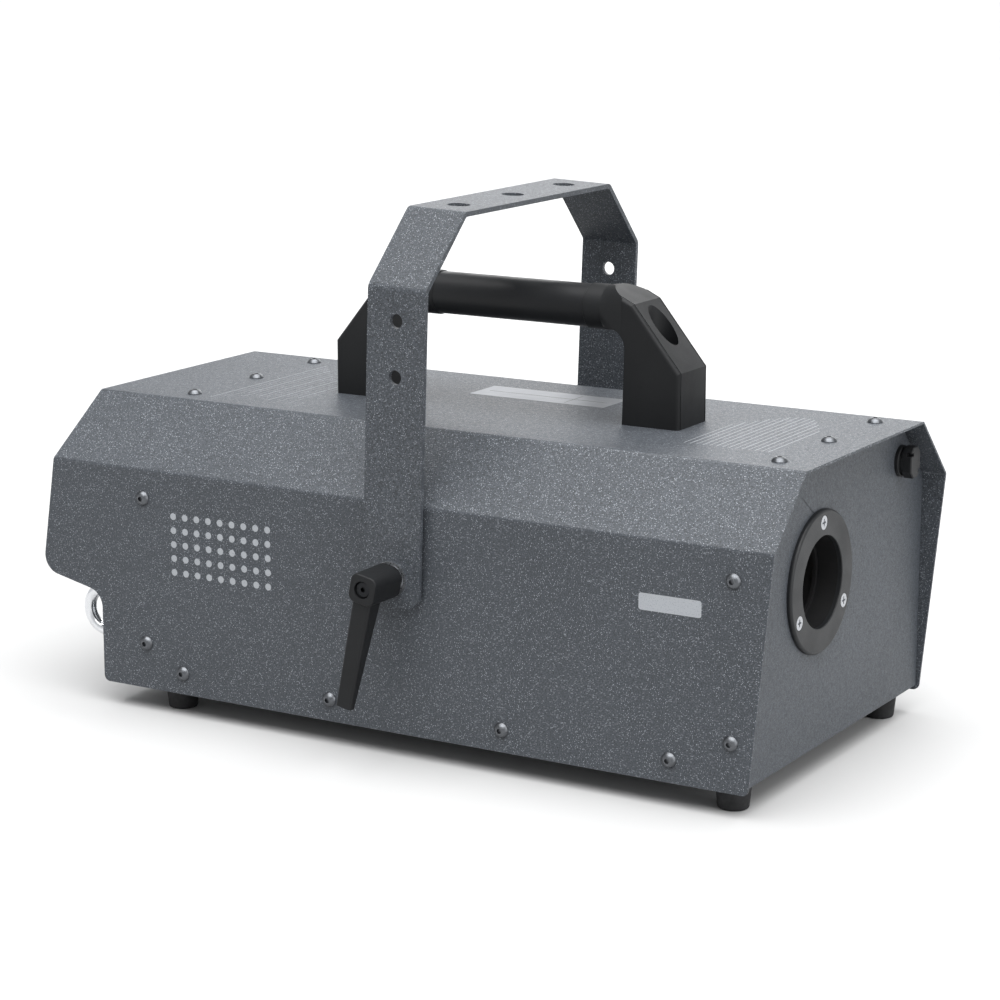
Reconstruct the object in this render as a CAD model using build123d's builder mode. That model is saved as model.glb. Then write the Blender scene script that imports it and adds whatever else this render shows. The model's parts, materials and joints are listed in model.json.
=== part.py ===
from build123d import *

import os
from math import cos, radians, sin, tan

# Fog machine, in millimetres. +X is the nozzle end, +Z is up, z = 0 is the floor under the feet.
# y = 0 is the plane that halves the case, and x = 0 is half way along the cover.

# Case
half_length = 259.4
top_length = 500.0
half_width = 124.6
cover_bottom = 14.8
cover_top = 197.0
corner = 39.5
sheet = 1.5
bend_radius = 3.0
fit_gap = 0.3
front_face_x = 244.3
rear_face_x = -212.6
front_slant = 13.6
notch_x = -213.6
notch_z = 73.0
hood_low_x = -261.0
hood_low_z = 83.4
hood_corner_x = -249.7
pan_bottom = 18.0
flange_low = 37.0
flange_high = 150.0
front_flange = 18.0
rear_flange = 44.0

# Button head screws in the cover
screw_front_x = 234.6
screw_rear_x = -178.7
side_screw_z = (44.4, 139.0)
edge_screw_z = 28.5
edge_screw_x = (-150.3, -38.6, 84.1, 195.7)
top_screw_y = (-67.6, 0.0, 67.6)
m5_radius = 2.5
m5_clear = 2.75

# Nozzle end
nozzle_y = -31.8
nozzle_z = 119.9
escutcheon_radius = 43.2
mouth_radius = 27.6
escutcheon_pitch_radius = 35.6
plug_y = 86.0
plug_z = 170.8
plug_shank = 7.0

# Handle
handle_x = 21.3
handle_half = 123.3
handle_axis_z = 265.2
tube_radius = 13.3
collar_radius = 14.0
leg_length = 38.4
leg_draft = 1.5
leg_half_width = 19.0
leg_edge = 2.4
slant_low_z = 231.4
slant_high = (91.2, 270.8)
crest_start = 73.0
handle_screw_offset = 102.5
screw_well_radius = 9.3

# Yoke and clamp levers
pivot_x = 10.8
pivot_z = 112.5
yoke_lean = 1.96
yoke_half_width = 130.5
yoke_corner = 42.0
yoke_bar = 3.0
yoke_bar_width = 40.0
yoke_rise = 217.5
yoke_drop = 16.7
yoke_top_pitch = 63.5
yoke_top_hole = 7.0
yoke_leg_holes = (122.4, 155.9)
yoke_leg_hole = 4.35
stud_radius = 4.0
running = 0.08
lever_lean = 11.8
hub_base = 134.3
hub_face = 161.8
arm_reach = 76.5

# Feet
foot_front_x = 227.4
foot_rear_x = -165.9
foot_y = 104.5
foot_top_radius = 11.2
foot_low_radius = 9.2
foot_bore_depth = 9.0

# Rear panel fittings, as (y, z)
eye_at = (-98.5, 54.4)
socket_in_at = (-55.0, 60.0)
socket_out_at = (-20.0, 60.0)
switch_at = (22.0, 60.0)
inlet_at = (72.0, 60.0)
bezel_at = (-45.0, 145.0)
bezel_size = (130.0, 42.0)
filler_angle = 35.0
filler_at = (rear_face_x, 72.0, 137.0)

window_size = (62.0, 24.0)
window_gap = 0.2
button_radius = 4.5
button_hole = 4.8
socket_flange = (26.0, 31.0)
socket_thick = 2.5
socket_body = 11.8
socket_hole = 12.1
socket_mouth = 9.5
contact_circle = 4.1
small_screw = 1.5
small_clear = 1.6
small_head = 2.9
small_sink = 3.1
inlet_body = (28.0, 26.0)
inlet_thick = 3.0
switch_body = (13.0, 19.0)
snap_gap = 0.2
eye_stud = 4.0
filler_hole = 15.0
neck_radius = 14.0
neck_bore = 11.8
cap_radius = 17.0

# Fixings
m4_radius = 2.0
m4_clear = 2.1
m4_head = 4.2
foot_clear = 2.3
m6_radius = 3.0
m6_clear = 3.2
hex_m6 = 5.0
hex_m8 = 6.5
flange_thick = 3.0

# Inside
heater_radius = 33.0
insulation_radius = 46.0
pump_y = -50.0
pump_z = 44.0
floor_top = pan_bottom + sheet
inner_wall = half_width - sheet - fit_gap
nut_wall = inner_wall - sheet


def house(inset, bottom):
    """The case's cross-section as (y, z) corners, moved inwards by inset."""
    side = half_width - inset
    top = cover_top - inset
    cut = corner - inset * (1 - tan(radians(22.5)))
    right = [(side, bottom), (side, top - cut), (side - cut, top)]
    return right + [(-y, z) for y, z in reversed(right)]


def side_plane(x, z, side, distance):
    """A plane on one side of the case, facing outwards; side is -1 or 1."""
    return Plane(origin=(x, side * distance, z), x_dir=(1, 0, 0), z_dir=(0, side, 0))


def rear_plane(place, depth=0.0):
    """A plane on the rear panel, facing backwards, depth behind its outer face."""
    y, z = place
    return Plane(origin=(rear_face_x - depth, y, z), x_dir=(0, -1, 0), z_dir=(-1, 0, 0))


def front_plane(y, z, depth=0.0):
    """A plane on the front panel, facing forwards, depth in front of its outer face."""
    return Plane(origin=(front_face_x + depth, y, z), x_dir=(0, 1, 0), z_dir=(1, 0, 0))


def finish(part, label):
    """Names a finished piece and writes it."""
    part.label = label
    export_step(part, f"parts/{label}.step")


def make_button_screw(head_radius, head_height, shank_radius, length, socket):
    """A button head screw standing on z = 0, its shank below."""
    with BuildPart() as screw:
        with BuildSketch(Plane.XZ):
            with BuildLine():
                rim = Line((0, 0), (head_radius, 0))
                edge = Line(rim @ 1, (head_radius, 0.4))
                crown = (socket * 0.75, head_height)
                dome = ThreePointArc(edge @ 1, (head_radius * 0.76, head_height * 0.72), crown)
                Polyline(dome @ 1, (0, head_height), (0, 0))
            make_face()
        revolve(axis=Axis.Z)
        with BuildSketch(Plane.XY.offset(head_height)):
            RegularPolygon(radius=socket / 2, side_count=6, major_radius=False)
        extrude(amount=-head_height * 0.6, mode=Mode.SUBTRACT)
        with BuildSketch(Plane.XY):
            Circle(shank_radius)
        extrude(amount=-length)
    return screw.part


def make_flat_screw(head_radius, shank_radius, length):
    """A countersunk screw with a cross recess, its head flush with z = 0."""
    depth = head_radius - shank_radius
    with BuildPart() as screw:
        with BuildSketch(Plane.XZ):
            with BuildLine():
                Polyline(
                    (0, 0),
                    (head_radius, 0),
                    (shank_radius, -depth),
                    (shank_radius, -length),
                    (0, -length),
                    close=True,
                )
            make_face()
        revolve(axis=Axis.Z)
        with BuildSketch(Plane.XY):
            Rectangle(head_radius * 1.1, head_radius * 0.25)
            Rectangle(head_radius * 0.25, head_radius * 1.1)
        extrude(amount=-depth * 0.6, mode=Mode.SUBTRACT)
    return screw.part


def make_cap_screw(head_radius, head_height, shank_radius, length, socket):
    """A socket cap screw standing on z = 0, its shank below."""
    with BuildPart() as screw:
        with BuildSketch(Plane.XY):
            Circle(head_radius)
        extrude(amount=head_height)
        chamfer(screw.faces().sort_by(Axis.Z)[-1].edges(), 0.4)
        with BuildSketch(Plane.XY.offset(head_height)):
            RegularPolygon(radius=socket / 2, side_count=6, major_radius=False)
        extrude(amount=-head_height * 0.6, mode=Mode.SUBTRACT)
        with BuildSketch(Plane.XY):
            Circle(shank_radius)
        extrude(amount=-length)
    return screw.part


def make_tube(points, radius, bend):
    """A round lead or hose along straight runs joined by arcs."""
    with BuildPart() as tube:
        with BuildLine() as route:
            FilletPolyline(*points, radius=bend)
        with BuildSketch(Plane(origin=route.line @ 0, z_dir=route.line % 0)):
            Circle(radius)
        sweep(path=route.line)
    return tube.part


def make_coil(coil_radius, wire_radius, pitch, height):
    """A round wire compression spring standing on z = 0."""
    with BuildPart() as coil:
        with BuildLine():
            turns = Helix(pitch=pitch, height=height, radius=coil_radius)
        with BuildSketch(Plane(origin=turns @ 0, z_dir=turns % 0)):
            Circle(wire_radius)
        sweep(path=turns, is_frenet=True)
    return coil.part


os.makedirs("parts", exist_ok=True)

side_screw_planes = [
    side_plane(x, z, side, half_width)
    for side in (-1, 1)
    for x, z in [(x, z) for x in (screw_rear_x, screw_front_x) for z in side_screw_z]
    + [(x, edge_screw_z) for x in edge_screw_x]
]
top_screw_planes = [
    Plane(origin=(x, y, cover_top), z_dir=(0, 0, 1))
    for x in (screw_rear_x, screw_front_x)
    for y in top_screw_y
]
handle_screw_x = (handle_x - handle_screw_offset, handle_x + handle_screw_offset)
pivot_planes = [side_plane(pivot_x, pivot_z, side, half_width) for side in (-1, 1)]
foot_places = [(x, y) for x in (foot_rear_x, foot_front_x) for y in (-foot_y, foot_y)]
escutcheon_angles = (90, 210, 330)
escutcheon_screw_planes = [
    front_plane(
        nozzle_y + escutcheon_pitch_radius * cos(radians(a)),
        nozzle_z + escutcheon_pitch_radius * sin(radians(a)),
        flange_thick,
    )
    for a in escutcheon_angles
]

# Cover: two side walls, two folded corners and the top, open below and at both ends
with BuildPart() as cover_shell:
    with BuildSketch(Plane.YZ.offset(-half_length - 10)):
        with BuildLine():
            Polyline(*house(0, cover_bottom - 1), close=True)
        make_face()
        fillet(vertices().filter_by(lambda v: v.Y > cover_bottom), bend_radius)
    extrude(amount=2 * half_length + 20)
    with BuildSketch(Plane.YZ.offset(-half_length - 10)):
        with BuildLine():
            Polyline(*house(sheet, cover_bottom - 2), close=True)
        make_face()
        fillet(vertices().filter_by(lambda v: v.Y > cover_bottom), bend_radius - sheet)
    extrude(amount=2 * half_length + 20, mode=Mode.SUBTRACT)
    with BuildSketch(Plane.XZ):
        with BuildLine():
            Polyline(
                (half_length, cover_top + 1),
                (half_length, cover_top - corner),
                (half_length - front_slant, cover_bottom),
                (notch_x, cover_bottom),
                (notch_x, notch_z),
                (hood_low_x, hood_low_z),
                (hood_corner_x, cover_top - corner),
                (half_length - top_length, cover_top),
                (half_length - top_length, cover_top + 1),
                close=True,
            )
        make_face()
        fillet(vertices().filter_by(lambda v: v.Y < cover_bottom + 1), 4)
        fillet(vertices().filter_by(lambda v: notch_z - 1 < v.Y < hood_low_z + 1), 12)
    extrude(amount=half_width + 10, both=True, mode=Mode.INTERSECT)
    with Locations(*side_screw_planes, *top_screw_planes):
        Hole(m5_clear, depth=sheet + 1)
    with Locations(*pivot_planes):
        Hole(stud_radius + fit_gap, depth=sheet + 1)
    with Locations(*[Plane(origin=(x, 0, cover_top)) for x in handle_screw_x]):
        Hole(m6_clear, depth=sheet + 1)
finish(cover_shell.part, "cover_shell")

# Pan: the floor of the case, its long edges folded up inside the cover
pan_front = front_face_x - sheet - 0.1
pan_rear = rear_face_x + sheet + 0.1
pan_length = pan_front - pan_rear
pan_middle = (pan_front + pan_rear) / 2
pan_flange_top = flange_low - 1.0
air_slot_start = -150.0
air_slot_pitch = 12.0
air_slot_count = 8
air_slot_width = 4.0
air_slot_length = 60.0
with BuildPart() as chassis_pan:
    with BuildSketch(Plane.XY.offset(pan_bottom)):
        with Locations((pan_middle, 0)):
            Rectangle(pan_length, 2 * inner_wall)
    extrude(amount=pan_flange_top - pan_bottom)
    with BuildSketch(Plane.XY.offset(pan_bottom + sheet)):
        with Locations((pan_middle, 0)):
            Rectangle(pan_length, 2 * nut_wall)
    extrude(amount=40, mode=Mode.SUBTRACT)
    with Locations(*[side_plane(x, edge_screw_z, s, inner_wall) for s in (-1, 1) for x in edge_screw_x]):
        Hole(m5_clear, depth=sheet + 1)
    with Locations(*[Plane(origin=(x, y, pan_bottom + sheet)) for x, y in foot_places]):
        Hole(foot_clear, depth=sheet + 1)
    # Air slots in the floor, under the boards
    slot_x = [air_slot_start + air_slot_pitch * i for i in range(air_slot_count)]
    with Locations(*[Plane(origin=(x, 0, pan_bottom + sheet)) for x in slot_x]):
        Box(air_slot_width, air_slot_length, 3 * sheet, mode=Mode.SUBTRACT)
finish(chassis_pan.part, "chassis_pan")


top_flange_width = 156.0
end_flange_width = 200.0
end_flange_depth = 12.0


def panel_blank(outer_x, inward, depth):
    """A flat end panel with its side, top and bottom flanges; inward is the way that they fold."""
    with BuildPart() as blank:
        with BuildSketch(Plane.YZ.offset(outer_x)):
            with BuildLine():
                Polyline(*house(sheet + fit_gap, pan_bottom), close=True)
            make_face()
        extrude(amount=inward * sheet)
        flange_start = outer_x + inward * sheet
        flange_middle = flange_start + inward * (depth - sheet) / 2
        flange_size = depth - sheet
        for side in (-1, 1):
            flange_centre = (flange_middle, side * (inner_wall - sheet / 2), (flange_low + flange_high) / 2)
            with Locations(flange_centre):
                Box(flange_size, sheet, flange_high - flange_low)
        with Locations((flange_middle, 0, cover_top - sheet - fit_gap - sheet / 2)):
            Box(flange_size, top_flange_width, sheet)
        with Locations((flange_start + inward * end_flange_depth / 2, 0, floor_top + sheet / 2)):
            Box(end_flange_depth, end_flange_width, sheet)
    return blank.part


# Front panel
with BuildPart() as front_panel:
    add(panel_blank(front_face_x, -1, front_flange))
    with Locations(front_plane(nozzle_y, nozzle_z)):
        Hole(mouth_radius + 2.0, depth=sheet + 1)
    with Locations(*escutcheon_screw_planes):
        Hole(m4_clear, depth=10)
    with Locations(front_plane(plug_y, plug_z)):
        Hole(plug_shank + snap_gap, depth=sheet + 1)
    with Locations(*[side_plane(screw_front_x, z, s, inner_wall) for s in (-1, 1) for z in side_screw_z]):
        Hole(m5_clear, depth=sheet + 1)
    with Locations(*[Plane(origin=(screw_front_x, y, cover_top - sheet)) for y in top_screw_y]):
        Hole(m5_clear, depth=sheet + 2)
finish(front_panel.part, "front_panel")

# Rear panel, with the openings for its fittings
button_places = [(bezel_at[0] - 16.0 - 14.0 * i, bezel_at[1]) for i in range(4)]
window_place = (bezel_at[0] + 26.0, bezel_at[1])
filler_dir = (-cos(radians(filler_angle)), 0, sin(radians(filler_angle)))
filler_plane = Plane(origin=filler_at, x_dir=(0, 1, 0), z_dir=filler_dir)
socket_screw_planes = [
    rear_plane((y + s * 9.5, z + s * 12.0), socket_thick)
    for y, z in (socket_in_at, socket_out_at)
    for s in (-1, 1)
]
inlet_screw_planes = [
    rear_plane((inlet_at[0] + s * 20.0, inlet_at[1]), inlet_thick) for s in (-1, 1)
]
window_cut = [size + 2 * window_gap for size in window_size]
with BuildPart() as rear_panel:
    add(panel_blank(rear_face_x, 1, rear_flange))
    with Locations(rear_plane(socket_in_at), rear_plane(socket_out_at)):
        Hole(socket_hole, depth=sheet + 1)
    with Locations(*socket_screw_planes, *inlet_screw_planes):
        Hole(small_clear, depth=8)
    with Locations(rear_plane(switch_at)):
        Box(*[size + snap_gap for size in switch_body], 6, mode=Mode.SUBTRACT)
    with Locations(rear_plane(inlet_at)):
        Box(*[size + snap_gap for size in inlet_body], 6, mode=Mode.SUBTRACT)
    with Locations(rear_plane(window_place)):
        Box(*window_cut, 6, mode=Mode.SUBTRACT)
    with Locations(*[rear_plane(p) for p in button_places]):
        Hole(button_hole, depth=sheet + 1)
    with Locations(rear_plane(eye_at)):
        Hole(eye_stud + 0.1, depth=sheet + 1)
    with BuildSketch(filler_plane.offset(-20)):
        Circle(filler_hole)
    extrude(amount=60, mode=Mode.SUBTRACT)
    with Locations(*[side_plane(screw_rear_x, z, s, inner_wall) for s in (-1, 1) for z in side_screw_z]):
        Hole(m5_clear, depth=sheet + 1)
    with Locations(*[Plane(origin=(screw_rear_x, y, cover_top - sheet)) for y in top_screw_y]):
        Hole(m5_clear, depth=sheet + 2)
finish(rear_panel.part, "rear_panel")

# Cover screws and the nuts pressed into the flanges behind them
button_screw = make_button_screw(4.75, 2.75, m5_radius, 8.0, 3.0)
with BuildPart() as side_screws:
    with Locations(*side_screw_planes):
        add(button_screw)
finish(side_screws.part, "side_screws")

with BuildPart() as top_screws:
    with Locations(*top_screw_planes):
        add(button_screw)
finish(top_screws.part, "top_screws")

nut_gap = half_width - nut_wall
with BuildPart() as clinch_nuts:
    with BuildSketch(*[p.offset(-nut_gap) for p in side_screw_planes + top_screw_planes]):
        Circle(4.3)
        Circle(m5_radius + 0.1, mode=Mode.SUBTRACT)
    extrude(amount=-3)
finish(clinch_nuts.part, "clinch_nuts")

# Feet and the screws that hold them, turned up through the foot into the pan
with BuildPart() as feet:
    for x, y in foot_places:
        with BuildSketch(Plane(origin=(x, y, 0))):
            Circle(foot_low_radius)
        with BuildSketch(Plane(origin=(x, y, pan_bottom))):
            Circle(foot_top_radius)
        loft()
    fillet(feet.edges().group_by(Axis.Z)[0], 1.6)
    with Locations(*[Plane(origin=(x, y, 0), z_dir=(0, 0, -1)) for x, y in foot_places]):
        CounterBoreHole(foot_clear, 5.0, foot_bore_depth)
finish(feet.part, "feet")

with BuildPart() as base_screws:
    with Locations(*[Plane(origin=(x, y, foot_bore_depth), z_dir=(0, 0, -1)) for x, y in foot_places]):
        add(make_button_screw(m4_head, 2.4, m4_radius, 14.0, 2.5))
finish(base_screws.part, "base_screws")

# Nozzle escutcheon, its screws, and the sleeve behind it
with BuildPart() as nozzle_flange:
    with BuildSketch(front_plane(nozzle_y, nozzle_z)):
        Circle(escutcheon_radius)
        Circle(mouth_radius, mode=Mode.SUBTRACT)
    extrude(amount=flange_thick)
    front_edges = nozzle_flange.edges().group_by(Axis.X)[-1].sort_by(SortBy.LENGTH)
    fillet(front_edges[-1], 1.8)
    fillet(front_edges[0], 0.6)
    with Locations(*escutcheon_screw_planes):
        CounterSinkHole(m4_clear, m4_head + 0.2, depth=10, counter_sink_angle=90)
finish(nozzle_flange.part, "nozzle_flange")

with BuildPart() as panel_screws:
    with Locations(*[p.offset(-0.1) for p in escutcheon_screw_planes]):
        add(make_flat_screw(m4_head, m4_radius, 9.0))
    with Locations(*[p.offset(-0.1) for p in socket_screw_planes + inlet_screw_planes]):
        add(make_flat_screw(small_head, small_screw, 7.0))
finish(panel_screws.part, "panel_screws")

sleeve_rear_x = 210.0
with BuildPart() as outlet_sleeve:
    with BuildSketch(front_plane(nozzle_y, nozzle_z)):
        Circle(mouth_radius + 1.7)
        Circle(mouth_radius, mode=Mode.SUBTRACT)
    extrude(amount=sleeve_rear_x - front_face_x)
    with BuildSketch(front_plane(nozzle_y, nozzle_z, -13.0)):
        Circle(mouth_radius + 0.5)
        Circle(mouth_radius - 2.6, mode=Mode.SUBTRACT)
    extrude(amount=-2)
finish(outlet_sleeve.part, "outlet_sleeve")

# Vent plug in the front panel's upper corner
with BuildPart() as front_vent_plug:
    with BuildSketch(front_plane(plug_y, plug_z)):
        Circle(9.8)
    extrude(amount=2.6)
    fillet(front_vent_plug.edges().group_by(Axis.X)[-1], 0.8)
    with BuildSketch(front_plane(plug_y, plug_z, 2.6)):
        Circle(7.6)
    extrude(amount=1.2)
    with BuildSketch(front_plane(plug_y, plug_z, 3.8)):
        Rectangle(14.2, 19.6)
        chamfer(vertices(), 4.2)
    extrude(amount=6.4)
    chamfer(front_vent_plug.edges().group_by(Axis.X)[-1], 0.6)
    with BuildSketch(front_plane(plug_y, plug_z, 10.2)):
        with Locations((-6.0, 5.4)):
            Rectangle(5.0, 2.2)
        with Locations((6.0, -5.4)):
            Rectangle(5.0, 2.2)
    extrude(amount=-3.4, mode=Mode.SUBTRACT)
    with BuildSketch(front_plane(plug_y, plug_z)):
        Circle(plug_shank)
    extrude(amount=-7)
finish(front_vent_plug.part, "front_vent_plug")

# Carrying handle: a tube between two moulded ends
tube_half = 66.0
collar_start = 54.0
with BuildPart() as handle_tube:
    with BuildSketch(Plane(origin=(handle_x - tube_half, 0, handle_axis_z), z_dir=(1, 0, 0))):
        Circle(tube_radius)
        Circle(tube_radius - 1.8, mode=Mode.SUBTRACT)
    extrude(amount=2 * tube_half)
finish(handle_tube.part, "handle_tube")


def handle_section(offset):
    """A plane across the handle, offset from its middle, with local x = y and local y = z."""
    return Plane(origin=(handle_x + offset, 0, 0), x_dir=(0, 1, 0), z_dir=(1, 0, 0))


leg_inner = handle_half - leg_length
collar_top = handle_axis_z + collar_radius
arch_z = handle_axis_z - 10.5
arch_radius = 11.0
flare_start = 66.0
screw_seat_z = 212.0
front_line = [
    (handle_x + handle_half, slant_low_z),
    (handle_x + slant_high[0], slant_high[1]),
    (handle_x + crest_start, collar_top + fit_gap),
]
# Seen from the side: the leg, its slanted face, and the arc under the collar
with BuildPart() as leg_side_shape:
    with BuildSketch(Plane.XZ):
        with BuildLine():
            Polyline(
                (handle_x + collar_start - 1, arch_z),
                (handle_x + leg_inner + leg_draft, arch_z),
                (handle_x + leg_inner, cover_top),
                (handle_x + handle_half, cover_top),
                *front_line,
                (handle_x + collar_start - 1, collar_top + fit_gap),
                close=True,
            )
        make_face()
        under_collar = vertices().filter_by(
            lambda v: v.X > handle_x + leg_inner and abs(v.Y - arch_z) < 0.1
        )
        fillet(under_collar, arch_radius)
    extrude(amount=leg_half_width, both=True)
    rim = leg_side_shape.edges().filter_by(
        lambda e: abs(e.center().Y) > leg_half_width - 0.1
        and (e.center().X > handle_x + handle_half - 25 or e.center().Z > collar_top - 8)
        and e.center().X > handle_x + crest_start
        and e.center().Z > cover_top + 1
    )
    fillet(rim, leg_edge)

# Seen along the handle: round at the collar, flaring out to the leg's width
flare_width = 2 * leg_half_width + 2
with BuildPart() as handle_end_front:
    with BuildSketch(handle_section(flare_start)):
        with Locations((0, handle_axis_z)):
            Circle(collar_radius)
    with BuildSketch(handle_section(leg_inner + 2)):
        with Locations((0, handle_axis_z - 13.5)):
            RectangleRounded(flare_width, 60, 12)
    loft()
    with BuildSketch(handle_section(leg_inner - 1)):
        with Locations((0, (cover_top + collar_top) / 2)):
            Rectangle(flare_width, collar_top - cover_top + 10)
    extrude(amount=leg_length + 2)
    add(leg_side_shape.part, mode=Mode.INTERSECT)
    with BuildSketch(handle_section(collar_start)):
        with Locations((0, handle_axis_z)):
            Circle(collar_radius)
    extrude(amount=leg_inner + 4 - collar_start)
    chamfer(handle_end_front.edges().group_by(Axis.X)[0], 0.5)
    with BuildSketch(Plane.XZ):
        with BuildLine():
            lid = [(x, collar_top + 5) for x, z in reversed(front_line[1:])]
            Polyline(*front_line[1:], *lid, close=True)
        make_face()
    extrude(amount=leg_half_width + 2, both=True, mode=Mode.SUBTRACT)
    # Fine grooves that set off the front faces from the rounded sides
    groove_line = [(handle_x + handle_half, cover_top - 1), *front_line]
    for side in (-1, 1):
        with BuildSketch(Plane.XZ.offset(side * (leg_half_width - leg_edge - 0.4))):
            with BuildLine():
                outer = [(x + 1, z + 1) for x, z in groove_line]
                inner = [(x - 0.45, z - 0.4) for x, z in reversed(groove_line)]
                Polyline(*outer, *inner, close=True)
            make_face()
        extrude(amount=0.35, both=True, mode=Mode.SUBTRACT)
    with BuildSketch(Plane(origin=(handle_x + handle_screw_offset, 0, screw_seat_z))):
        Circle(screw_well_radius)
    extrude(amount=80, mode=Mode.SUBTRACT)
    with BuildSketch(Plane(origin=(handle_x + handle_screw_offset, 0, cover_top))):
        Circle(m6_clear)
    extrude(amount=30, mode=Mode.SUBTRACT)
    with BuildSketch(handle_section(collar_start)):
        with Locations((0, handle_axis_z)):
            Circle(tube_radius + 0.1)
    extrude(amount=tube_half - collar_start + 0.1, mode=Mode.SUBTRACT)
finish(handle_end_front.part, "handle_end_front")

with BuildPart() as handle_end_rear:
    mirror(handle_end_front.part, about=Plane.YZ.offset(handle_x))
finish(handle_end_rear.part, "handle_end_rear")

with BuildPart() as handle_screws:
    with Locations(*[Plane(origin=(x, 0, screw_seat_z)) for x in handle_screw_x]):
        add(make_cap_screw(5.0, 6.0, m6_radius, screw_seat_z - cover_top + 10, 5.0))
finish(handle_screws.part, "handle_screws")

# Yoke: one bar folded over the case, leaning by yoke_lean on its pivots
lean = radians(yoke_lean)
yoke_plane = Plane(
    origin=(pivot_x, 0, pivot_z), x_dir=(0, 1, 0), z_dir=(cos(lean), 0, -sin(lean))
)


def yoke_outline(inset, bottom):
    """The yoke's outline as (y, rise above the pivot) corners, moved inwards by inset."""
    side = yoke_half_width - inset
    top = yoke_rise - inset
    cut = yoke_corner - inset * (1 - tan(radians(22.5)))
    right = [(side, bottom), (side, top - cut), (side - cut, top)]
    return right + [(-y, z) for y, z in reversed(right)]


with BuildPart() as yoke:
    with BuildSketch(yoke_plane.offset(-yoke_bar_width / 2)):
        with BuildLine():
            Polyline(*yoke_outline(0, -yoke_drop), close=True)
        make_face()
        fillet(vertices().filter_by(lambda v: v.Y > 0), bend_radius + yoke_bar)
    extrude(amount=yoke_bar_width)
    with BuildSketch(yoke_plane.offset(-yoke_bar_width / 2)):
        with BuildLine():
            Polyline(*yoke_outline(yoke_bar, -yoke_drop - 1), close=True)
        make_face()
        fillet(vertices().filter_by(lambda v: v.Y > 0), bend_radius)
    extrude(amount=yoke_bar_width, mode=Mode.SUBTRACT)
    leg_ends = yoke.edges().filter_by(Axis.Y).filter_by(lambda e: e.center().Z < pivot_z - 5)
    chamfer(leg_ends, 6)
    crown_plane = Plane(
        origin=yoke_plane.from_local_coords((0, yoke_rise, 0)),
        x_dir=(0, 1, 0),
        z_dir=(sin(lean), 0, cos(lean)),
    )
    with Locations(crown_plane):
        with Locations(*[(i * yoke_top_pitch, 0) for i in (-1, 0, 1)]):
            Hole(yoke_top_hole, depth=2 * yoke_bar)
    for side in (-1, 1):
        for rise in yoke_leg_holes:
            spot = yoke_plane.from_local_coords((side * yoke_half_width, rise, 0))
            with Locations(Plane(origin=spot, x_dir=(1, 0, 0), z_dir=(0, side, 0))):
                Hole(yoke_leg_hole, depth=2 * yoke_bar)
        with Locations(side_plane(pivot_x, pivot_z, side, yoke_half_width)):
            Hole(stud_radius + running, depth=2 * yoke_bar)
finish(yoke.part, "yoke")

yoke_inner_y = yoke_half_width - yoke_bar
with BuildPart() as yoke_washers:
    with BuildSketch(*[side_plane(pivot_x, pivot_z, s, half_width + fit_gap) for s in (-1, 1)]):
        Circle(15.0)
        Circle(stud_radius + fit_gap, mode=Mode.SUBTRACT)
    extrude(amount=yoke_inner_y - half_width - fit_gap)
    with BuildSketch(*[side_plane(pivot_x, pivot_z, s, yoke_half_width) for s in (-1, 1)]):
        Circle(11.0)
        Circle(stud_radius + fit_gap, mode=Mode.SUBTRACT)
    extrude(amount=1.6)
finish(yoke_washers.part, "yoke_washers")

# Pivot studs, fixed in brackets inside the case
bracket_outer = 121.2
bracket_inner = bracket_outer - 3
with BuildPart() as pivot_brackets:
    for side in (-1, 1):
        with Locations((pivot_x, side * (bracket_outer - 1.5), (floor_top + 135) / 2)):
            Box(50, 3, 135 - floor_top)
        with Locations((pivot_x, side * (bracket_inner - 15), floor_top + 1.5)):
            Box(50, 30, 3)
    with Locations(*[side_plane(pivot_x, pivot_z, s, bracket_outer) for s in (-1, 1)]):
        Hole(stud_radius + 0.1, depth=4)
finish(pivot_brackets.part, "pivot_brackets")

stud_end = 139.2
with BuildPart() as pivot_studs:
    with BuildSketch(*[side_plane(pivot_x, pivot_z, s, bracket_inner) for s in (-1, 1)]):
        Circle(stud_radius)
    extrude(amount=stud_end - bracket_inner)
    with BuildSketch(*[side_plane(pivot_x, pivot_z, s, bracket_inner) for s in (-1, 1)]):
        RegularPolygon(radius=hex_m8, side_count=6, major_radius=False)
    extrude(amount=-5)
finish(pivot_studs.part, "pivot_studs")

# Near side clamp lever: toothed insert on the stud, sprung lever, retaining screw
turn = radians(lever_lean)
lever_plane = Plane(
    origin=(pivot_x, 0, pivot_z), x_dir=(cos(turn), 0, -sin(turn)), z_dir=(0, -1, 0)
)
insert_foot = 132.4
insert_top = 142.5
spline_radius = 5.8
spline_length = 3.2
lever_floor = 147.0
screw_head_at = 156.9
with BuildPart() as clamp_insert_near:
    with BuildSketch(lever_plane.offset(insert_foot)):
        Circle(9.0)
    extrude(amount=hub_base - fit_gap - insert_foot)
    with BuildSketch(lever_plane.offset(insert_foot)):
        Circle(spline_radius - 0.8)
    extrude(amount=insert_top - insert_foot)
    with BuildSketch(lever_plane.offset(insert_top - spline_length)):
        Circle(spline_radius)
        with PolarLocations(spline_radius, 18):
            Circle(0.45, mode=Mode.SUBTRACT)
    extrude(amount=spline_length)
    with BuildSketch(lever_plane.offset(insert_foot)):
        Circle(stud_radius + running)
    extrude(amount=stud_end + 0.3 - insert_foot, mode=Mode.SUBTRACT)
    with BuildSketch(lever_plane.offset(insert_top)):
        Circle(2.55)
    extrude(amount=-5, mode=Mode.SUBTRACT)
finish(clamp_insert_near.part, "clamp_insert_near")

with BuildPart() as lever_screw_near:
    with Locations(lever_plane.offset(screw_head_at)):
        add(make_cap_screw(4.8, 3.6, 2.5, screw_head_at - stud_end - 0.6, 3.0))
finish(lever_screw_near.part, "lever_screw_near")

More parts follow.
